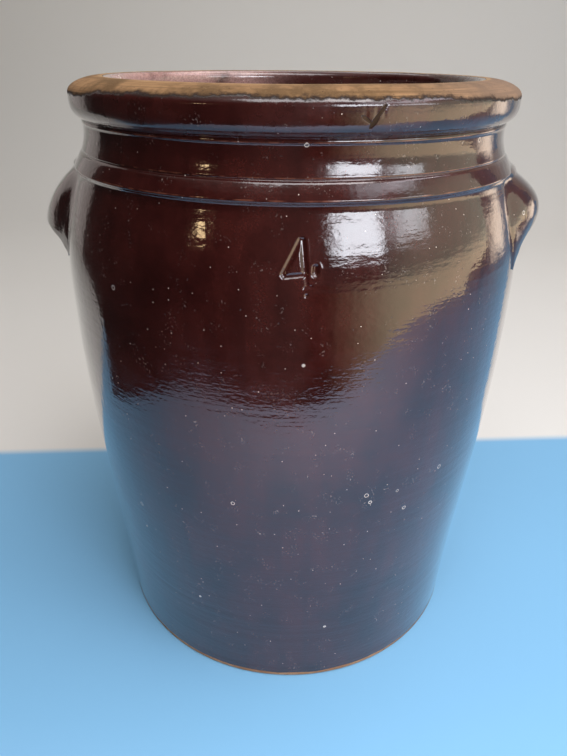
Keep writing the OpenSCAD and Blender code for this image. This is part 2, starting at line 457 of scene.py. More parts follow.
    def painted_mouth_light(self, places: Places, wide: Source) -> Source:
        """Marks a painted pool of pinkish light on the left of the mouth's inside."""
        tree = places.tree
        spans = (
            (places.radius, self.mouth_radii),
            (places.height, self.mouth_heights),
            (places.sideways, self.mouth_side),
        )
        lit_share = add(tree, RANGE, {0: wide, 1: 0.2, 2: 0.5}, **SMOOTH)
        for measure, (start, end) in spans:
            within = add(tree, RANGE, {0: measure, 1: mm(start), 2: mm(end)}, **SMOOTH)
            lit_share = add(tree, MATH, {0: lit_share, 1: within}, **TIMES)
        return lit_share


@dataclass(frozen=True)
class StonewareClay:
    """Bare stoneware fired to a hard buff: wiped clean of glaze, so it is dry and dull.

    It shows turning lines, dark iron spots, pale grains, a greyer right side and a paler worn
    line at the mouth. Spacings and radii are in millimetres.
    """

    buff: str = "#a27c55"
    brown: str = "#6b4f2f"
    grey: str = "#80695a"
    iron: str = "#38281a"
    pale: str = "#a98b66"
    dullness: float = 0.85
    cloud: float = 22.0
    grain: float = 0.7
    line_gap: float = 1.1
    drift: float = 60.0
    spot_gap: float = 3.0
    worn_radii: tuple[float, float] = (108.7, 107.5)
    outer_radii: tuple[float, float] = (108.0, 122.0)
    right_side: tuple[float, float] = (40.0, 110.0)
    line_height: float = 0.14
    grain_height: float = 0.06

    def layers(self, places: Places) -> Layers:
        """Adds the clay's patterns to a tree.

        Args:
            places: Where the points of the piece are.

        Returns:
            The clay's colour, roughness and bump height.
        """
        tree, at, radius = places.tree, places.at, places.radius
        across = add(tree, MATH, {0: radius, 1: per_mm(self.line_gap)}, **TIMES)
        upward = add(tree, MATH, {0: places.height, 1: per_mm(self.line_gap)}, **TIMES)
        turned = add(tree, "ShaderNodeCombineXYZ", {0: across, 1: upward})
        drift = (per_mm(self.drift), per_mm(self.drift), 0)
        drift = add(tree, VECTOR, {0: at, 1: drift}, **TIMES)
        follow = add(tree, VECTOR, {0: turned, 1: drift}, **PLUS)
        lines = add(tree, NOISE, {"Vector": follow, "Scale": 1.0, "Detail": 2.0})
        clouds = {"Vector": at, "Scale": per_mm(self.cloud), "Detail": 4.0, "Roughness": 0.65}
        wide = add(tree, NOISE, clouds)
        fine = add(tree, NOISE, {"Vector": at, "Scale": per_mm(self.grain), "Detail": 2.0})
        spots = add(tree, CELLS, {"Vector": at, "Scale": per_mm(self.spot_gap)})
        away = spots.outputs["Distance"]
        dark = add(tree, RANGE, {0: lines, 1: 0.46, 2: 0.62}, **SMOOTH)
        (inner_r, outer_r), (near, far) = self.outer_radii, self.right_side
        outer = add(tree, RANGE, {0: radius, 1: mm(inner_r), 2: mm(outer_r), 3: 0.45, 4: 0.9})
        worn = {0: radius, 1: mm(self.worn_radii[0]), 2: mm(self.worn_radii[1]), 4: 0.7}
        right = {0: places.sideways, 1: mm(near), 2: mm(far), 4: 0.75}
        coats = (
            (add(tree, RANGE, {0: wide, 1: 0.38, 2: 0.62}, **SMOOTH), self.brown),
            (add(tree, MATH, {0: dark, 1: outer}, **TIMES), self.brown),
            (add(tree, RANGE, right, **SMOOTH), self.grey),
            (add(tree, RANGE, worn, **SMOOTH), self.pale),
            (add(tree, RANGE, {0: fine, 1: 0.58, 2: 0.8, 4: 0.45}, **SMOOTH), self.pale),
            (add(tree, RANGE, {0: away, 1: 0.16, 2: 0.08, 4: 0.6}, **SMOOTH), self.iron),
        )
        colour = linear(self.buff)
        for share, paint in coats:
            colour = add(tree, MIX, {0: share, 6: colour, 7: linear(paint)}, **COLOURS)
        roughness = add(tree, MATH, {0: fine, 1: 0.15, 2: self.dullness - 0.07}, **TIMES_PLUS)
        height = add(tree, MATH, {0: lines, 1: mm(self.line_height)}, **TIMES)
        height = add(tree, MATH, {0: fine, 1: mm(self.grain_height), 2: height}, **TIMES_PLUS)
        return Layers(colour, roughness, height)


@dataclass(frozen=True)
class Finish:
    """A material in which glaze and bare clay meet at a ragged, scorched line.

    The body is dull clay or iron slip, and the melted glass over it is the shader's coat, so the
    clay that was wiped bare has none.
    """

    name: str
    bare: Callable[[Places], Source] | None
    glaze: SlipGlaze = SlipGlaze()
    clay: StonewareClay = StonewareClay()
    scorch: str = "#221009"
    body_ior: float = 1.4
    glass_ior: float = 1.54
    glass_roughness: float = 0.045
    glass_step: float = 0.02

    def material(self) -> bpy.types.Material:
        """Builds the material.

        Returns:
            The new material.
        """
        made = bpy.data.materials.new(self.name)
        tree = new_tree(made)
        places = Places(tree)
        glaze = self.glaze.layers(places)
        colour, roughness, height = glaze.colour, glaze.roughness, glaze.height
        coat = 1.0
        if self.bare is not None:
            clay = self.clay.layers(places)
            mask = self.bare(places)
            scorch, whole, clean = (
                add(tree, RANGE, {0: mask, 1: start, 2: end}, **SMOOTH)
                for start, end in ((0.0, 0.25), (0.1, 0.4), (0.3, 0.95))
            )
            for share, paint in ((scorch, linear(self.scorch)), (clean, clay.colour)):
                colour = add(tree, MIX, {0: share, 6: colour, 7: paint}, **COLOURS)
            roughness = add(tree, MIX, {0: whole, 2: roughness, 3: clay.roughness})
            height = add(tree, MIX, {0: whole, 2: height, 3: clay.height})
            step = {0: whole, 1: mm(-self.glass_step), 2: height}
            height = add(tree, MATH, step, **TIMES_PLUS)
            coat = add(tree, MATH, {0: 1.0, 1: whole}, **LESS)
        bump = {"Strength": 1.0, "Distance": 1.0, "Height": height}
        bump = add(tree, "ShaderNodeBump", bump)
        sockets = {
            "Base Color": colour,
            "Roughness": roughness,
            "Normal": bump,
            "IOR": self.body_ior,
            "Coat Weight": coat,
            "Coat Roughness": self.glass_roughness,
            "Coat IOR": self.glass_ior,
            "Coat Normal": bump,
        }
        shader = add(tree, SHADER, sockets)
        add(tree, "ShaderNodeOutputMaterial", {"Surface": shader})
        return made


# Pieces


def spun(outline: Outline, closed: bool, sectors: Sectors, start: float) -> Mesh:
    """Spins an outline round the axis, in sectors that may be finer than others.

    Args:
        outline: Radius and height pairs.
        closed: True if the last point joins the first.
        sectors: The angle in degrees and the number of steps of each sector, once round in all.
        start: Where the first sector starts, in degrees round from the front towards +X.

    Returns:
        The spun shell in millimetres, welded and with its faces outwards.
    """
    bm = bmesh.new()
    turn = math.radians(start)
    verts = [bm.verts.new((r * math.sin(turn), -r * math.cos(turn), z)) for r, z in outline]
    pairs = list(zip(verts, verts[1:])) + ([(verts[-1], verts[0])] if closed else [])
    geometry = verts + [bm.edges.new(pair) for pair in pairs]
    for angle, steps in sectors:
        made = bmesh.ops.spin(
            bm, geom=geometry, cent=(0, 0, 0), axis=AXIS, angle=math.radians(angle), steps=steps
        )
        geometry = made["geom_last"]
    welded(bm)
    return bm


def welded(bm: Mesh) -> None:
    """Merges the vertices that meet, and turns the faces outwards."""
    bmesh.ops.remove_doubles(bm, verts=bm.verts, dist=WELD)
    bmesh.ops.recalc_face_normals(bm, faces=bm.faces)


def extruded(bm: Mesh, edges: list) -> tuple[list, list]:
    """Extrudes the last row of a sheet.

    Args:
        bm: The mesh.
        edges: The row's edges.

    Returns:
        The new row's edges and its vertices.
    """
    made = bmesh.ops.extrude_edge_only(bm, edges=edges)["geom"]
    row = [item for item in made if isinstance(item, bmesh.types.BMEdge)]
    verts = [item for item in made if isinstance(item, bmesh.types.BMVert)]
    return [edge for edge in row if len(edge.link_faces) == 1], verts


def polar(at: Vector) -> tuple[float, float]:
    """Returns a point's distance from the axis, and its angle in degrees from the front to +X."""
    return math.hypot(at.x, at.y), math.degrees(math.atan2(at.x, -at.y))


def move_in(vert: bmesh.types.BMVert, depth: float) -> None:
    """Moves a vertex towards the axis by a depth in millimetres."""
    radius = math.hypot(vert.co.x, vert.co.y)
    share = (radius - depth) / radius
    vert.co.x *= share
    vert.co.y *= share


def placed(bm: Mesh, name: str, material: bpy.types.Material) -> bpy.types.Object:
    """Puts a mesh in metres in the scene, smooth-shaded, at the origin.

    Args:
        bm: The mesh, which is freed.
        name: Its name.
        material: Its material.

    Returns:
        The object.
    """
    for face in bm.faces:
        face.smooth = True
    mesh = bpy.data.meshes.new(name)
    bm.to_mesh(mesh)
    bm.free()
    mesh.materials.append(material)
    made = bpy.data.objects.new(name, mesh)
    bpy.context.scene.collection.objects.link(made)
    log.info("%s: %d faces", name, len(mesh.polygons))
    return made


def finished(bm: Mesh, node: str, finish: Finish) -> bpy.types.Object:
    """Makes a piece of a mesh in millimetres, in the place of its CAD node.

    Args:
        bm: The mesh, which is freed.
        node: The CAD node that the piece stands for.
        finish: The finish.

    Returns:
        The piece.
    """
    bmesh.ops.scale(bm, vec=(METRES,) * 3, verts=bm.verts)
    piece = placed(bm, node + "_body", finish.material())
    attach(piece, "root")
    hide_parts(node)
    return piece


@dataclass
class CrockWall:
    """The thrown wall, from the foot to the neck, in millimetres.

    A pull is how far a curve's handle reaches, as a share of the curve's rise.
    """

    foot_r: float = 123.0
    foot_bevel: float = 2.0
    foot_lean: float = 2.7
    foot_pull: float = 0.46
    floor_t: float = 12.0
    floor_sweep: float = 20.0
    belly_r: float = 137.0
    belly_z: float = 228.036
    belly_low_pull: float = 0.377
    belly_high_pull: float = 0.436
    foot_t: float = 11.0
    wall_t: float = 9.4
    shoulder_t: float = 10.4
    groove_r: float = 124.7
    groove_z: float = 306.5
    groove_pull: float = 0.4
    shoulder_lean: float = 22.0
    band_r: float = 126.5
    band_z: float = 310.5
    band_lean: float = 31.0
    ring_z: float = 318.5
    ring_w: float = 1.8
    ring_depth: float = 0.9
    neck_r: float = 118.7
    neck_pull: float = 0.3
    neck_rise: float = 0.55
    ridge_z: float = 333.3
    ridge_out: float = 0.6
    ridge_w: float = 0.8
    rim_z: float = 334.5
    mouth_r: float = 102.0
    throat_pull: float = 0.28
    mouth_pull: float = 0.42
    first_row: float = 2.6
    row_gap: float = 1.65
    rows: int = 161
    first_close_row: float = 268.0
    close_row_gap: float = 0.46
    close_rows: int = 73
    last_rows: tuple[float, ...] = (302.6, 303.8, 304.9, 305.8)
    inner_row_gap: float = 8.0
    inner_rows: int = 34
    numeral_turn: float = 5.8
    numeral_z: float = 285.5
    numeral_sector: float = 11.6
    numeral_reach: float = 18.0
    numeral_steps: int = 72
    round_steps: int = 176
    slow_out: float = 0.2
    throw_out: float = 0.11
    throw_gap: float = 3.6
    even_foot: tuple[float, float] = (0.5, 12.0)
    even_neck: tuple[float, float] = (326.0, 331.0)
    edge_z: float = 2.7
    edge_fade: float = 0.6
    edge_gap: float = 20.0
    edge_wander: float = 3.0
    finish: Finish = field(init=False)
    outer: Outline = field(init=False)
    inner: Outline = field(init=False)
    outer_profile: Profile = field(init=False)
    numeral: tuple[Stroke, ...] = (
        Stroke((0.6, 9.6), (-6.9, -4.4), 2.9, 0.85),
        Stroke((-6.4, -5.4), (2.2, -4.5), 2.6, 0.8),
        Stroke((1.4, 9.4), (2.7, -3.6), 3.1, 1.0),
        Stroke((2.9, -4.0), (3.7, -9.2), 2.2, 0.45),
        Stroke((2.3, -10.0), (5.6, -9.4), 1.5, 0.45),
        Stroke((7.3, -1.6), (7.1, -3.9), 3.3, 1.2),
        Stroke((3.3, -13.3), (3.4, -13.5), 1.9, 0.6),
    )

    def __post_init__(self) -> None:
        """Works out the outlines and the finish."""
        self.outer = self.outside()
        self.inner = self.inside()
        self.outer_profile = Profile.of(self.outer)
        # Painted light: the foot's bare clay is painted lighter than the crown's, to stand in for
        # light on its shaded edge.
        lit_foot_clay = StonewareClay(buff="#bd8f6c", brown="#9a6c4e")
        self.finish = Finish("brown_slip_glaze_wall", self.bare_mask, clay=lit_foot_clay)

    def belly(self, foot: float, belly: float, groove: float) -> Outline:
        """Draws the belly's two curves, for the outside or, with less radius, the inside."""
        first, rise = self.belly_z * self.foot_pull, self.groove_z - self.belly_z
        pull = rise * self.groove_pull
        lower = cubic(
            (foot, 0.0),
            (foot + first * slope(self.foot_lean), first),
            (belly, self.belly_z * (1 - self.belly_low_pull)),
            (belly, self.belly_z),
            90,
        )
        upper = cubic(
            (belly, self.belly_z),
            (belly, self.belly_z + rise * self.belly_high_pull),
            (groove + pull * slope(self.shoulder_lean), self.groove_z - pull),
            (groove, self.groove_z),
            60,
        )
        return lower + upper[1:]

    def outside(self) -> Outline:
        """Draws the outside from the foot up to the rim.

        Returns:
            The outline, with close rows where the numeral is pressed in.
        """
        belly = Profile.of(self.belly(self.foot_r, self.belly_r, self.groove_r))
        bevel = self.foot_bevel
        foot = oval((self.foot_r - bevel, bevel), bevel, bevel, -90, 0, 5)
        heights = [self.first_row + self.row_gap * i for i in range(self.rows)]
        heights += [self.first_close_row + self.close_row_gap * i for i in range(self.close_rows)]
        heights += self.last_rows
        wall = [(belly.radius(z), z) for z in heights]
        lean = slope(self.band_lean)
        ring_r = self.band_r - (self.ring_z - self.band_z) * lean
        start = (ring_r - self.ring_w / 2 * lean, self.ring_z + self.ring_w / 2)
        run = self.rim_z - start[1]
        pull = run * self.neck_pull
        neck = cubic(
            start,
            (start[0] - pull * slope(self.shoulder_lean), start[1] + pull),
            (self.neck_r, start[1] + run * self.neck_rise),
            (self.neck_r, self.ridge_z - self.ridge_w),
            14,
        )
        band = [
            wall[-1],
            (self.groove_r, self.groove_z + 2.0),
            (self.band_r, self.band_z),
            (ring_r + self.ring_w / 2 * lean, self.ring_z - self.ring_w / 2),
            (ring_r - self.ring_depth, self.ring_z),
            start,
            neck[1],
        ]
        ridge = [
            neck[-1],
            (self.neck_r + self.ridge_out, self.ridge_z - self.ridge_w / 2),
            (self.neck_r + self.ridge_out, self.ridge_z + self.ridge_w / 2),
            (self.neck_r + self.ridge_out / 2, self.rim_z),
        ]
        return foot + wall + softened(band, 0.8)[1:-1] + neck[1:-1] + softened(ridge, 0.3, 2)

    def inside(self) -> Outline:
        """Draws the inside from the floor's sweep up to the rim."""
        foot, middle = self.foot_r - self.foot_t, self.belly_r - self.wall_t
        at = self.groove_r - self.shoulder_t
        belly = Profile.of(self.belly(foot, middle, at))
        sweep_z = self.floor_t + self.floor_sweep
        centre = (belly.radius(sweep_z) - self.floor_sweep, sweep_z)
        sweep = oval(centre, self.floor_sweep, self.floor_sweep, -90, 0, 10)
        heights = [sweep_z + self.inner_row_gap * (i + 1) for i in range(self.inner_rows)]
        wall = [(belly.radius(z), z) for z in heights]
        run = self.rim_z - self.groove_z
        pull = run * self.throat_pull
        neck = cubic(
            (at, self.groove_z),
            (at - pull * slope(self.shoulder_lean), self.groove_z + pull),
            (self.mouth_r, self.rim_z - run * self.mouth_pull),
            (self.mouth_r, self.rim_z),
            8,
        )
        return sweep + wall + neck

    @property
    def floor_r(self) -> float:
        """Radius at which the floor's slab meets the wall's sweep."""
        return self.inner[0][0]

    def radius_at(self, height: float) -> float:
        """Radius of the outside at a height."""
        return self.outer_profile.radius(height)

    def unevenness(self, at: Vector, angle: float) -> float:
        """Measures how far the hand-thrown wall lies inside its true outline at a place.

        Args:
            at: The place.
            angle: Its angle round the axis, in degrees.

        Returns:
            A depth in millimetres, from 0 to about 0.5.
        """
        turn = math.radians(angle)
        slow = noise.noise(Vector((at.x / 55, at.y / 55, at.z / 70)))
        climb = at.z / self.throw_gap + turn * 0.16
        ridge = noise.noise(Vector((math.sin(turn) * 0.5, math.cos(turn) * 0.5, climb)))
        strength = 0.45 + 0.55 * noise.noise(Vector((at.x / 80 + 7, at.y / 80, at.z / 40)))
        return self.slow_out + self.slow_out * slow + self.throw_out * strength * ridge

    def bare_mask(self, places: Places) -> Source:
        """Marks the bare clay of the foot's edge and underside, where the glaze was wiped off."""
        tree, low = places.tree, self.edge_z - self.edge_fade
        wander = {"Vector": places.at, "Scale": per_mm(self.edge_gap), "Detail": 4.0}
        wander = add(tree, NOISE, wander)
        level = {0: wander, 1: mm(-self.edge_wander), 2: places.height}
        level = add(tree, MATH, level, **TIMES_PLUS)
        return add(tree, RANGE, {0: level, 1: mm(self.edge_z), 2: mm(low)}, **SMOOTH)

    def build(self) -> bpy.types.Object:
        """Builds the wall.

        Returns:
            The piece.
        """
        outline = self.outer + self.inner[::-1] + [(self.floor_r, 0.0)]
        sector, turn = self.numeral_sector, self.numeral_turn
        sectors = ((sector, self.numeral_steps), (360 - sector, self.round_steps))
        bm = spun(outline, True, sectors, turn - sector / 2)
        for vert in bm.verts:
            radius, angle = polar(vert.co)
            height = vert.co.z
            inner = radius < self.radius_at(height) - 3
            if inner or height < self.even_foot[0] or height > self.even_neck[1]:
                continue
            fade = ease(height, *self.even_foot) * (1 - ease(height, *self.even_neck))
            depth = self.unevenness(vert.co, angle) * fade
            off, up = angle - turn, height - self.numeral_z
            if abs(off) < sector / 2 and abs(up) < self.numeral_reach:
                depth += pressed(self.numeral, math.radians(off) * radius, up)
            move_in(vert, depth)
        return finished(bm, "crock_wall", self.finish)


@dataclass
class CrockFloor:
    """The floor's flat slab, with the spiral that the thrower's fingers left, in millimetres."""

    wall: CrockWall
    rings: int = 44
    columns: int = 120
    spiral: float = 11.0
    ridge_h: float = 0.5
    bare_heights: tuple[float, float] = (5.0, 3.0)

    def bare_mask(self, places: Places) -> Source:
        """Marks the underside, which stood on the kiln's shelf without glaze."""
        start, end = self.bare_heights
        return add(places.tree, RANGE, {0: places.height, 1: mm(start), 2: mm(end)}, **SMOOTH)

    def build(self) -> bpy.types.Object:
        """Builds the floor.

        Returns:
            The piece.
        """
        radius, thick = self.wall.floor_r, self.wall.floor_t
        steps = [radius * i / self.rings for i in range(self.rings + 1)]
        outline = [(r, thick) for r in steps] + [(r, 0.0) for r in steps[::-3]] + [(0.0, 0.0)]
        bm = spun(outline, False, ((360.0, self.columns),), 0.0)
        for vert in bm.verts:
            away, angle = polar(vert.co)
            if vert.co.z > thick / 2 and away < radius - 1:
                turn = 2 * math.pi * away / self.spiral - math.radians(angle)
                wave = 0.5 + 0.5 * math.cos(turn)
                fade = ease(away, 4, 16) * (1 - ease(away, radius - 12, radius - 2))
                vert.co.z -= self.ridge_h * wave * fade
        finish = Finish("brown_slip_glaze_floor", self.bare_mask)
        return finished(bm, "crock_floor", finish)


@dataclass
class RolledRim:
    """The thick rim, rolled over the neck, in millimetres."""

    crock_h: float = 355.0
    rim_r: float = 124.6
    mouth_r: float = 102.0
    rim_z: float = 334.5
    neck_edge: float = 119.0
    crown_run: float = 17.8
    crown_fall: float = 8.0
    under_round: float = 8.6
    mouth_round: float = 4.8
    fine_start: float = 12.0
    fine_sector: float = 14.0
    fine_steps: int = 70
    round_steps: int = 230
    wiped_z: float = 354.7
    wiped_fade: float = 2.0
    wander_gap: float = 24.0
    wander: float = 2.6
    fray_gap: float = 5.0
    fray: float = 5.0
    side_drop: float = 3.4
    side_reach: tuple[float, float] = (62.0, 118.0)
    glaze_in_r: float = 106.15
    gouges: tuple[Stroke, ...] = (
        Stroke((47.6, 347.9), (44.2, 343.7), 1.6, 0.35, 0.0),
        Stroke((44.2, 343.7), (41.7, 339.8), 1.9, 0.35, 0.0),
        Stroke((37.8, 343.8), (41.6, 341.4), 1.2, 0.25, 0.0),
    )

    def outline(self) -> Outline:
        """Draws the rim's section.

        Returns:
            The closed outline, from the mouth's lower edge round the outside.
        """
        under = (self.rim_r - self.under_round, self.rim_z + self.under_round)
        first = -math.degrees(math.acos(min(1.0, (self.neck_edge - under[0]) / self.under_round)))
        points = [(self.mouth_r, self.rim_z), (self.neck_edge, self.rim_z)]
        points += oval(under, self.under_round, self.under_round, first, 0, 22)
        crown = (self.rim_r - self.crown_run, self.crock_h - self.crown_fall)
        points += oval(crown, self.crown_run, self.crown_fall, 0, 90, 34)[1:]
        inner = (self.mouth_r + self.mouth_round, self.crock_h - self.mouth_round)
        points += oval(inner, self.mouth_round, self.mouth_round, 90, 180, 9)[1:]
        return points + [(self.mouth_r, z) for z in (347.0, 343.0, 339.0)]

    def bare_mask(self, places: Places) -> Source:
        """Marks the crown, which was wiped bare so that a lid wouldn't stick to it.

        The line wanders and frays, and comes lower at the right and left ends.
        """
        tree, at = places.tree, places.at
        coarse = {"Vector": at, "Scale": per_mm(self.wander_gap), "Detail": 1.0}
        coarse = add(tree, NOISE, coarse)
        mottle = {"Vector": at, "Scale": per_mm(self.fray_gap), "Detail": 6.0, "Roughness": 0.72}
        mottle = add(tree, NOISE, mottle)
        sideways = add(tree, MATH, {0: places.sideways}, operation="ABSOLUTE")
        start, end = self.side_reach
        lower = {0: sideways, 1: mm(start), 2: mm(end), 4: mm(self.side_drop)}
        lower = add(tree, RANGE, lower, **SMOOTH)
        level = places.height
        for pattern, out in ((coarse, self.wander), (mottle, self.fray)):
            level = add(tree, MATH, {0: pattern, 1: mm(out), 2: level}, **TIMES_PLUS)
        level = add(tree, MATH, {0: level, 1: lower}, **PLUS)
        inward = add(tree, MATH, {0: mottle, 1: mm(1.5), 2: places.radius}, **TIMES_PLUS)
        out, back = (
            add(tree, RANGE, {0: measure, 1: mm(edge - fade), 2: mm(edge + fade)}, **SMOOTH)
            for measure, edge, fade in (
                (level, self.wiped_z, self.wiped_fade),
                (inward, self.glaze_in_r, 0.5),
            )
        )
        bare = add(tree, MATH, {0: out, 1: back}, **TIMES)
        for gouge in self.gouges:
            scraped = self.gouge_mask(places, gouge, mottle)
            bare = add(tree, MATH, {0: bare, 1: scraped}, **MOST)
        return bare

    def gouge_mask(self, places: Places, gouge: Stroke, mottle: Source) -> Source:
        """Marks the rough clay that a gouge laid open, as a long ellipsoid round it.

        Args:
            places: Where the points of the rim are.
            gouge: The gouge.
            mottle: A fine pattern that frays its edge.

        Returns:
            A mask that is highest inside the gouge.
        """
        tree = places.tree
        ends = [self.on_bead(*end) for end in (gouge.start, gouge.end)]
        middle, along = (ends[0] + ends[1]) / 2, (ends[1] - ends[0]).normalized()
        outward = Vector((middle.x, middle.y, 0)).normalized()
        half = (ends[1] - ends[0]).length / 2 + gouge.width / 3
        place = {
            "Vector": places.at,
            "Location": middle * METRES,
            "Rotation": Matrix((along, outward.cross(along), outward)).transposed().to_euler(),
            "Scale": (mm(half), mm(gouge.width / 2), mm(3.0)),
        }
        local = add(tree, "ShaderNodeMapping", place, vector_type="TEXTURE")
        away = add(tree, VECTOR, {0: local}, operation="LENGTH")
        frayed = add(tree, MATH, {0: mottle, 1: -1.0, 2: away}, **TIMES_PLUS)
        return add(tree, RANGE, {0: frayed, 1: 0.75, 2: 0.3, 4: 0.5}, **SMOOTH)

    def on_bead(self, along: float, height: float) -> Vector:
        """Returns a place on the rim's front, from its place along the bead and its height."""
        angle = along / self.rim_r
        return Vector((self.rim_r * math.sin(angle), -self.rim_r * math.cos(angle), height))

    def build(self) -> bpy.types.Object:
        """Builds the rim.

        Returns:
            The piece.
        """
        sectors = ((self.fine_sector, self.fine_steps), (360 - self.fine_sector, self.round_steps))
        bm = spun(self.outline(), True, sectors, self.fine_start)
        for vert in bm.verts:
            radius, angle = polar(vert.co)
            height = vert.co.z
            if height < self.rim_z + 0.5:
                continue
            rise = ease(height, self.rim_z + 1, self.rim_z + 8)
            slow = noise.noise(Vector((vert.co.x / 40, vert.co.y / 40, 3.1)))
            waver = noise.noise(Vector((vert.co.x / 18, vert.co.y / 18, height / 6 + 5.0)))
            crown = ease(height, self.crock_h - 7, self.crock_h - 1)
            vert.co.z -= crown * (0.18 + 0.18 * slow)
            depth = rise * ease(radius, 112, 120) * (0.22 + 0.14 * waver + 0.08 * slow)
            if self.fine_start < angle < self.fine_start + self.fine_sector and radius > 118:
                depth += pressed(self.gouges, math.radians(angle) * self.rim_r, height)
            move_in(vert, depth)
        glaze = SlipGlaze(polish=0.2, haze=0.2, grit_height=0.05)
        name = "bare_rim_over_brown_glaze"
        finish = Finish(name, self.bare_mask, glaze, glass_roughness=0.08)
        return finished(bm, "rolled_rim", finish)


@dataclass
class Ear:
    """A crescent lug, luted onto the shoulder with its lip turned out, in millimetres.

    A bow is the power that shapes a curve from the ear's middle to its tips: less is squarer.
    """

    wall: CrockWall
    side: Side
    reach: float
    lip_drop: float
    crown_shares: tuple[float, float]
    span: float = 124.0
    tall: float = 58.0
    lap: float = 1.4
    lip_span: float = 103.0
    hollow_span: float = 84.0
    hollow_rise: float = 11.0
    tip_t: float = 2.0
    tip_share: float = 0.25
    root_bow: float = 0.41
    lip_bow: float = 0.57
    reach_bow: float = 2.7
    skirt: float = 4.5
    stations: int = 108

    def section(self, way: float) -> list[Vector]:
        """Draws one section across the ear.

        Args:
            way: Share of the way from the ear's middle to a leg's end, from -1 to 1.

        Returns:
            Points as (place along the wall, height, distance out from it): down the outer face,
            round the lip, under it and back inside the wall.
        """
        turn = math.pi / 2 * way
        tip = self.wall.band_z + self.lap - self.tall
        lip_h = self.tall - self.lip_drop
        sine, cosine = math.sin(turn), math.cos(turn)
        side = math.copysign(abs(sine) ** self.root_bow, way)
        short = max(0.0, 1 - (1 - abs(way)) / self.tip_share)
        close = math.sqrt(max(0.0, 1 - short**2))
        out = (self.tip_t + (self.reach - self.tip_t) * cosine**self.reach_bow) * close
        root_z = tip + self.tall * cosine**self.root_bow
        under_z = tip + (lip_h + self.hollow_rise) * cosine**self.lip_bow
        root = Vector((self.span / 2 * side, root_z, 0))
        under = Vector((self.hollow_span / 2 * sine, under_z, 0))
        lip = Vector((self.lip_span / 2 * sine, tip + lip_h * cosine**self.lip_bow, 0))
        middle = (root + under) / 2
        root, under, lip = (middle + (point - middle) * close for point in (root, under, lip))
        lip += Vector((0, 0, out))
        along, outward = self.crown_shares
        crown = root + (lip - root) * along + Vector((0, 0, out * outward))
        face_end = crown + (lip - crown) * 0.86
        under_start = lip + (under - lip) * 0.16
        face = bend(root, crown, face_end, 16)
        away = (root - under).normalized() * self.skirt * close
        sunk = root + away - Vector((0, 0, 0.35))
        skirt = bend(sunk, root + Vector((0, 0, 0.15)), face[4], 6)
        lip_round = bend(face_end, lip, under_start, 8)
        below = bend(under_start, (under_start + under) / 2, under - Vector((0, 0, 0.4)), 8)
        back = root + away - under
        buried = [under + back * i / 6 - Vector((0, 0, 1.4)) for i in range(7)]
        return skirt[:-1] + face[4:] + lip_round[1:] + below[1:] + buried

    def on_wall(self, point: Vector) -> Vector:
        """Puts a section's point on the crock.

        Args:
            point: Place along the wall, height and distance out from it.

        Returns:
            The place in the crock's own frame.
        """
        angle = point.x / self.wall.belly_r
        radius = self.wall.radius_at(point.y) + point.z
        x = self.side.value * radius * math.cos(angle)
        return Vector((x, radius * math.sin(angle), point.y))

    def build(self) -> bpy.types.Object:
        """Builds the ear.

        Returns:
            The piece.
        """
        shares = (2 * i / self.stations - 1 for i in range(self.stations + 1))
        ways = [0.985 * math.sin(math.pi / 2 * share) for share in shares]
        bm = bmesh.new()
        count = len(self.section(0.0))
        ring = bmesh.ops.create_circle(bm, segments=count, radius=1.0, cap_ends=True)["verts"]
        edges = list(bm.edges)
        for way in ways:
            for vert, point in zip(ring, self.section(way)):
                vert.co = self.on_wall(point)
            if way != ways[-1]:
                edges, ring = extruded(bm, edges)
        bmesh.ops.holes_fill(bm, edges=edges)
        bmesh.ops.triangulate(bm, faces=[face for face in bm.faces if len(face.verts) > 4])
        welded(bm)
        for vert in bm.verts:
            lump = noise.noise(vert.co / 16) * 0.35 + noise.noise(vert.co / 6) * 0.1
            move_in(vert, 0.25 + lump)
        name = f"{self.side.name.lower()}_ear"
        return finished(bm, name, Finish(f"brown_slip_glaze_{name}", None))


# Studio


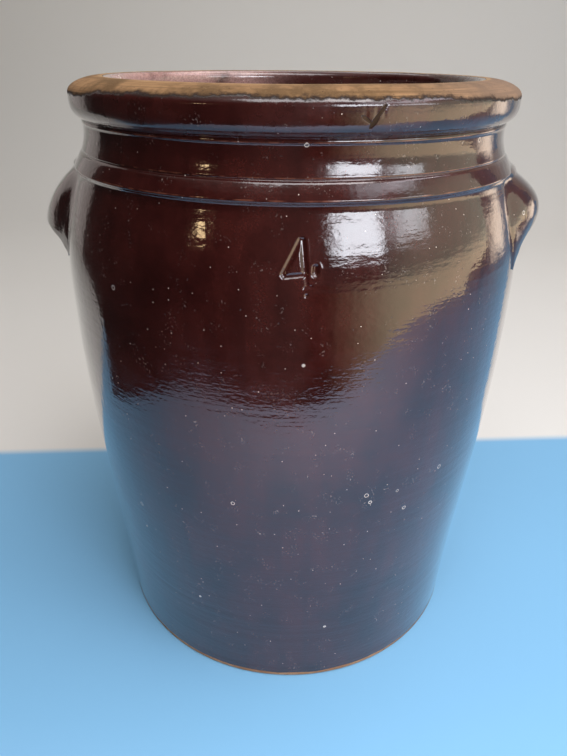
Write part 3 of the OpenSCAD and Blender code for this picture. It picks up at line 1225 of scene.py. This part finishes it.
@dataclass(frozen=True)
class SoftBox:
    """A lamp with a soft, uneven edge. Sizes are in metres and angles in degrees.

    Attributes:
        name: Its name.
        azimuth: Way round from the front towards +X.
        elevation: Angle above the place that it faces.
        away: Distance from that place.
        size: Width and height.
        glow: Brightness of its face, where white paper in full light has 1.
        colour: Colour of its light.
        soft: Share of each half of its face over which it fades out.
        uneven: How far its edge wanders, as a share of its size.
        aim: The place that it faces, which is the crock's shoulder where nothing is said.
        mirrored: False if the glaze isn't to show it.
    """

    name: str
    azimuth: float
    elevation: float
    away: float
    size: tuple[float, float]
    glow: float
    colour: str
    soft: float = 0.3
    uneven: float = 0.35
    aim: tuple[float, float, float] = (0.0, 0.0, 0.28)
    mirrored: bool = True

    def hang(self) -> None:
        """Adds the lamp to the scene."""
        width, height = self.size
        data = bpy.data.lights.new(self.name, "AREA")
        data.shape, data.size, data.size_y = "RECTANGLE", width, height
        data.energy = self.glow * math.pi * width * height
        data.color = linear(self.colour)[:3]
        self.face(new_tree(data))
        lamp = bpy.data.objects.new(self.name, data)
        lamp.visible_camera = False
        lamp.visible_glossy = self.mirrored
        a, e = math.radians(self.azimuth), math.radians(self.elevation)
        way = Vector((math.sin(a) * math.cos(e), -math.cos(a) * math.cos(e), math.sin(e)))
        lamp.location = Vector(self.aim) + way * self.away
        lamp.rotation_mode = "QUATERNION"
        lamp.rotation_quaternion = way.to_track_quat("Z", "Y")
        bpy.context.scene.collection.objects.link(lamp)

    def face(self, tree: Tree) -> None:
        """Fades the lamp's face out towards an edge that wanders."""
        at = add(tree, "ShaderNodeNewGeometry").outputs["Parametric"]
        waves = {"Vector": at, "Scale": 3.4, "Detail": 5.0, "Roughness": 0.65}
        waves = add(tree, NOISE, waves).outputs["Color"]
        middle = 0.5 + self.uneven / 2
        shift = add(tree, VECTOR, {0: waves, 1: (self.uneven, self.uneven, 0)}, **TIMES)
        shifted = add(tree, VECTOR, {0: at, 1: shift}, **PLUS)
        moved = add(tree, VECTOR, {0: shifted, 1: (middle, middle, 0)}, **LESS)
        sides = add(tree, VECTOR, {0: moved}, operation="ABSOLUTE")
        parts = add(tree, SPLIT, {0: sides})
        fades = [
            add(tree, RANGE, {0: parts.outputs[side], 1: 0.5, 2: 0.5 * (1 - self.soft)}, **SMOOTH)
            for side in ("X", "Y")
        ]
        fade = add(tree, MATH, {0: fades[0], 1: fades[1]}, **TIMES)
        glowing = add(tree, "ShaderNodeEmission", {"Color": (1, 1, 1, 1), "Strength": fade})
        add(tree, "ShaderNodeOutputLight", {"Surface": glowing})


LAMPS = (
    SoftBox("key", 20, 68, 1.15, (1.1, 0.6), 4.4, "#fbfcff"),
    SoftBox(
        "front_floor", 0, 90, 0.26, (0.7, 0.3), 3.0, "#fffaf8",
        aim=(0.18, -0.42, 0.0), mirrored=False,
    ),
    SoftBox("window", 36, 22, 1.6, (0.84, 0.56), 11.5, "#f2f6ff", 0.5, 0.5),
    SoftBox("side_window", 63, 22, 1.6, (0.7, 0.5), 5.0, "#f2f6ff", 0.7, 0.7),
    SoftBox("high_window", 58, 43, 1.6, (1.1, 0.6), 2.6, "#f2f6ff", 0.7, 0.7),
    SoftBox("sky_right", 94, 50, 1.5, (1.4, 0.4), 3.0, "#fbf6ff", 0.6),
    SoftBox("right_side", 118, 0, 1.5, (0.6, 0.5), 2.6, "#ffe6cc", 0.7, 0.6),
    SoftBox("glint", -39, 20, 1.6, (0.14, 0.14), 14.0, "#ffdca8", 0.6, 0.7),
    SoftBox("overhead", 92, 70, 1.5, (1.5, 0.6), 2.2, "#fff0ec"),
    SoftBox("behind", 175, 62, 1.6, (1.8, 0.8), 1.5, "#ffffff"),
)


@dataclass
class Studio:
    """The floor, the backdrop, the room's light and the camera, in metres and degrees."""

    turn: float = 4.3
    distance: float = 0.38837
    height: float = 0.36661
    pitch: float = 28.102
    roll: float = 0.492
    yaw: float = -0.644
    lens: float = 29.095
    sensor: float = 36.0
    front: float = 0.475
    left_reach: float = 0.515
    right_reach: float = 1.2
    left_square: float = 4.0
    right_square: float = 3.0
    off_centre: float = 0.10
    depth: float = 1.0
    bow: float = 0.7
    back_height: float = 2.2
    back_spread: float = 3.4
    # Colour of the painted pool of light on the front of the paper.
    lit_front_colour: str = "#bfd0ee"
    floor_colour: str = "#7eb6de"
    back_colour: str = "#e4e3df"
    beyond_colour: str = "#cfcdc8"
    back_y: float = 0.15
    back_lean: float = 0.15

    def camera(self) -> None:
        """Sets the camera where the photograph was taken from."""
        data = bpy.data.cameras.new("camera")
        data.lens, data.sensor_width = self.lens, self.sensor
        camera = bpy.data.objects.new("camera", data)
        yaw, pitch, roll = (math.radians(a) for a in (self.yaw, self.pitch, self.roll))
        level = Vector((math.sin(yaw), math.cos(yaw), 0))
        ahead = level * math.cos(pitch) - Vector((0, 0, math.sin(pitch)))
        right = Vector((math.cos(yaw), -math.sin(yaw), 0))
        up = right.cross(ahead)
        across = right * math.cos(roll) + up * math.sin(roll)
        upward = up * math.cos(roll) - right * math.sin(roll)
        seen = Matrix((across, upward, -ahead)).transposed().to_4x4()
        seen.translation = Vector((0, -self.distance, self.height))
        camera.matrix_world = Matrix.Rotation(math.radians(self.turn), 4, "Z") @ seen
        bpy.context.scene.collection.objects.link(camera)
        bpy.context.scene.camera = camera

    def floor_edge(self, angle: float) -> tuple[float, float]:
        """Draws the front edge of the pale floor, which the glaze mirrors on the belly.

        Args:
            angle: Way round from the left end, over the front to the right end, in radians.

        Returns:
            Place from the middle of the edge's own axes, in metres.
        """
        cosine = math.cos(angle)
        reach, square = self.right_reach, self.right_square
        if cosine > 0:
            reach, square = self.left_reach, self.left_square
        across, forward = abs(cosine) ** (2 / square), math.sin(angle) ** (2 / square)
        return math.copysign(reach * across, -cosine), -self.front * forward

    def paper(self) -> bpy.types.Material:
        """Builds the floor's matt paper: blue, paler in front as a painted pool of light, and white
        behind a slanting line.
        """
        made = bpy.data.materials.new("matt_paper_sweep")
        tree = new_tree(made)
        parts = add(tree, SPLIT, {0: add(tree, "ShaderNodeTexCoord").outputs["Object"]})
        x, y = parts.outputs["X"], parts.outputs["Y"]
        away = add(tree, MATH, {0: x, 1: -self.back_lean, 2: y}, **TIMES_PLUS)
        far = add(tree, RANGE, {0: x, 1: 0.32, 2: 1.5, 4: 1.2})
        away = add(tree, MATH, {0: away, 1: far}, **LESS)
        colour = linear(self.floor_colour)
        # Painted light: the paler front is a painted pool of light, which the belly mirrors; the
        # white behind the slanting line is the backdrop.
        for measure, start, end, paint in (
            (y, -0.16, -0.46, self.lit_front_colour),
            (away, self.back_y - 0.007, self.back_y + 0.007, self.back_colour),
        ):
            share = add(tree, RANGE, {0: measure, 1: start, 2: end}, **SMOOTH)
            colour = add(tree, MIX, {0: share, 6: colour, 7: linear(paint)}, **COLOURS)
        shader = add(tree, SHADER, {"Base Color": colour, "Roughness": 0.9})
        add(tree, "ShaderNodeOutputMaterial", {"Surface": shader})
        return made

    def stand(self) -> None:
        """Lays the pale floor and the sweep of backdrop behind it."""
        rows = [(0.0, 0.0, 1.0), (self.depth * 0.04, 0.0, 1.5), (self.depth * 0.3, 0.0, 2.4)]
        for i in range(16):
            turn = math.radians(6 * i)
            back, up = self.depth + self.bow * math.sin(turn), self.bow * (1 - math.cos(turn))
            rows.append((back, up, self.back_spread))
        rows.append((self.depth + self.bow, self.back_height, self.back_spread))
        bm = bmesh.new()
        steps = 48
        front = [self.floor_edge(math.pi * i / steps) for i in range(steps + 1)]
        verts = [bm.verts.new((self.off_centre + x, y, 0.0)) for x, y in front]
        edges = [bm.edges.new(pair) for pair in zip(verts, verts[1:])]
        for back, up, spread in rows:
            edges, verts = extruded(bm, edges)
            for vert, (x, _) in zip(verts, front):
                vert.co = Vector((self.off_centre + x * spread, back, up))
        bmesh.ops.recalc_face_normals(bm, faces=bm.faces)
        placed(bm, "floor", self.paper())

    def world(self) -> None:
        """Fills the room with light that is dim in front, so that the glaze stays dark.

        The glaze mirrors its tones, and a camera that looks past the sweep sees one plain grey.
        Each share below goes from its start to its end along one axis of the direction.
        """
        world = bpy.data.worlds.new("room")
        bpy.context.scene.world = world
        tree = new_tree(world)
        parts = add(tree, SPLIT, {0: add(tree, "ShaderNodeTexCoord").outputs["Generated"]})
        x, y, z = (parts.outputs[axis] for axis in "XYZ")
        later = add(tree, RANGE, {0: x, 1: -0.1, 2: 0.4, 4: 0.25})
        away = add(tree, MATH, {0: y, 1: later}, **LESS)
        over = add(tree, RANGE, {0: z, 1: 0.6, 2: 0.95, 4: 0.4})
        front, back, right, low_right, warm, below = (
            add(tree, RANGE, {0: axis, 1: start, 2: end, 3: low, 4: high}, **SMOOTH)
            for axis, start, end, low, high in (
                (x, -0.55, 0.2, 0.02, 0.10),
                (away, 0.43, 0.47, 0.0, 0.42),
                (x, 0.6, 0.92, 0.0, 1.0),
                (x, 0.2, 0.78, 0.0, 1.0),
                (x, 0.1, 0.3, 0.0, 1.0),
                (z, 0.10, -0.02, 0.0, 1.0),
            )
        )
        ground = add(tree, MATH, {0: low_right, 1: below}, **TIMES)
        glow = add(tree, MATH, {0: ground, 1: 1.5, 2: right}, **TIMES_PLUS)
        for other in (front, back, over):
            glow = add(tree, MATH, {0: glow, 1: other}, **MOST)
        warm = add(tree, MATH, {0: warm, 1: below}, **TIMES)
        earth = {0: low_right, 6: linear("#b8604c"), 7: linear("#fbe6c2")}
        earth = add(tree, MIX, earth, **COLOURS)
        direct = add(tree, "ShaderNodeLightPath").outputs["Is Camera Ray"]
        colour = linear("#fff2ec")
        for share, paint in (
            (right, linear("#e2efd8")),
            (warm, earth),
            (direct, linear(self.beyond_colour)),
        ):
            colour = add(tree, MIX, {0: share, 6: colour, 7: paint}, **COLOURS)
        glow = add(tree, MIX, {0: direct, 2: glow, 3: 1.0})
        sky = add(tree, "ShaderNodeBackground", {"Color": colour, "Strength": glow})
        add(tree, "ShaderNodeOutputWorld", {"Surface": sky})

    def build(self) -> None:
        """Sets up the whole studio."""
        bpy.context.scene.view_settings.view_transform = "Standard"
        self.camera()
        self.stand()
        self.world()
        for lamp in LAMPS:
            lamp.hang()


def main() -> None:
    logging.basicConfig(level=logging.INFO, format="%(name)s: %(message)s")
    wall = CrockWall()
    wall.build()
    CrockFloor(wall).build()
    RolledRim().build()
    Ear(wall, Side.LEFT, reach=21.4, lip_drop=39.2, crown_shares=(0.32, 0.37)).build()
    Ear(wall, Side.RIGHT, reach=14.2, lip_drop=28.6, crown_shares=(0.45, 0.87)).build()
    Studio().build()


if __name__ == "__main__":
    main()
